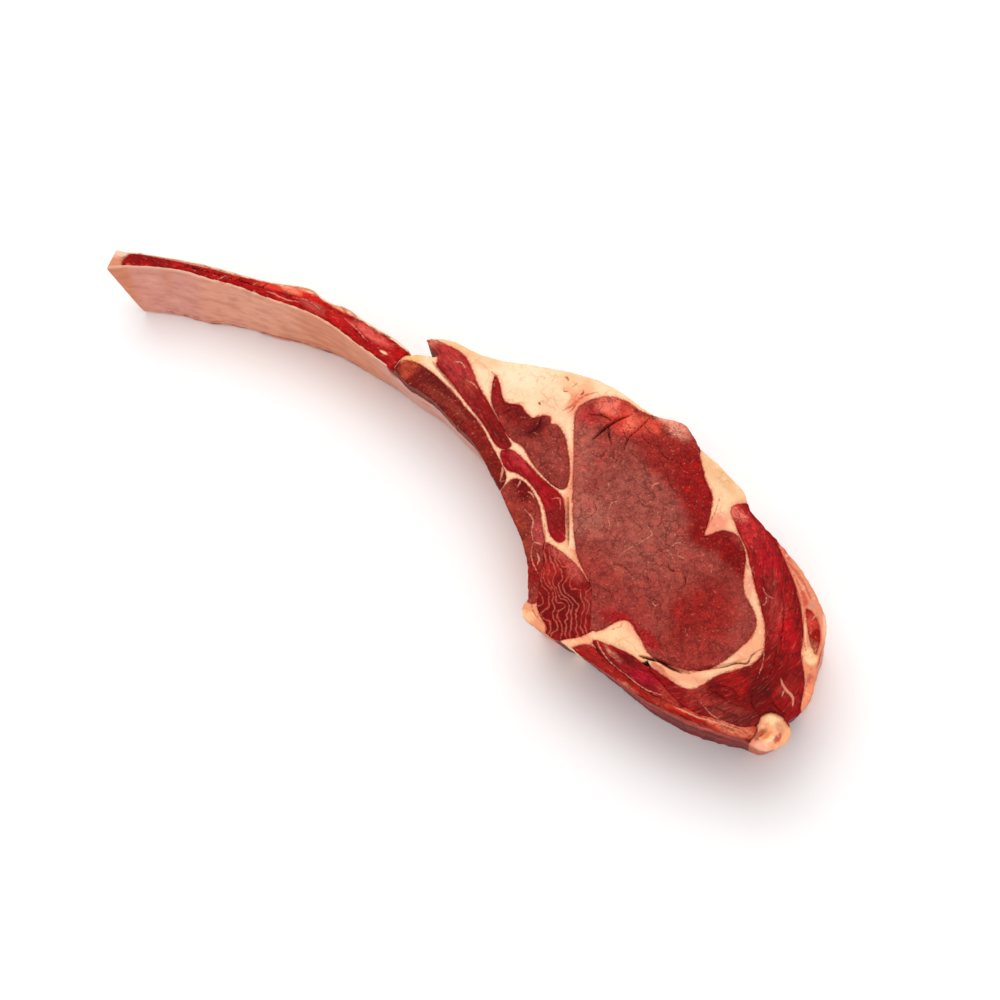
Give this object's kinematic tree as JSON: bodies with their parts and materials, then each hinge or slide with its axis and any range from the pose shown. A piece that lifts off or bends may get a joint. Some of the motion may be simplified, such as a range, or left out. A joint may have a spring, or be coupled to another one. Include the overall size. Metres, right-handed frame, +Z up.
{
  "type": "raw tomahawk steak",
  "caption": "Raw rib steak lying flat on a long bare curved rib: eye, cap and small muscles divided by cream seams, with a fat cap along the outer side.",
  "frame": {"origin": "middle of the steak's box, on the surface it lies on", "axes": "+X along the steak from the rib's tip to the meat's round end, +Y across towards the outer fat side, +Z up"},
  "size_m": [0.4177, 0.1327, 0.045],
  "materials": {
    "lean_meat": "moist cut muscle, crimson to brown red",
    "dark_meat": "moist dark red muscle",
    "fat": "cream fat, satin",
    "rib_membrane": "pink moist membrane over bone",
    "rib_meat": "thin red meat on the bone's edge"
  },
  "bodies": {
    "root": {"rib_bone": "rib_membrane", "rib_meat": "rib_meat", "eye_muscle": "lean_meat", "cap_muscle": "lean_meat", "marbled_muscle": "lean_meat", "wedge_muscle": "lean_meat", "strip_muscle": "lean_meat", "flap_muscle": "lean_meat", "intercostal_muscle": "dark_meat", "rib_end_muscle": "lean_meat", "lower_muscle": "lean_meat", "edge_muscle": "dark_meat", "rim_muscle": "lean_meat", "tail_fat": "fat", "corner_fat": "fat", "rim_fat": "fat", "lower_fat": "fat", "side_fat": "fat", "fat_cap": "fat"}
  },
  "joints": []
}
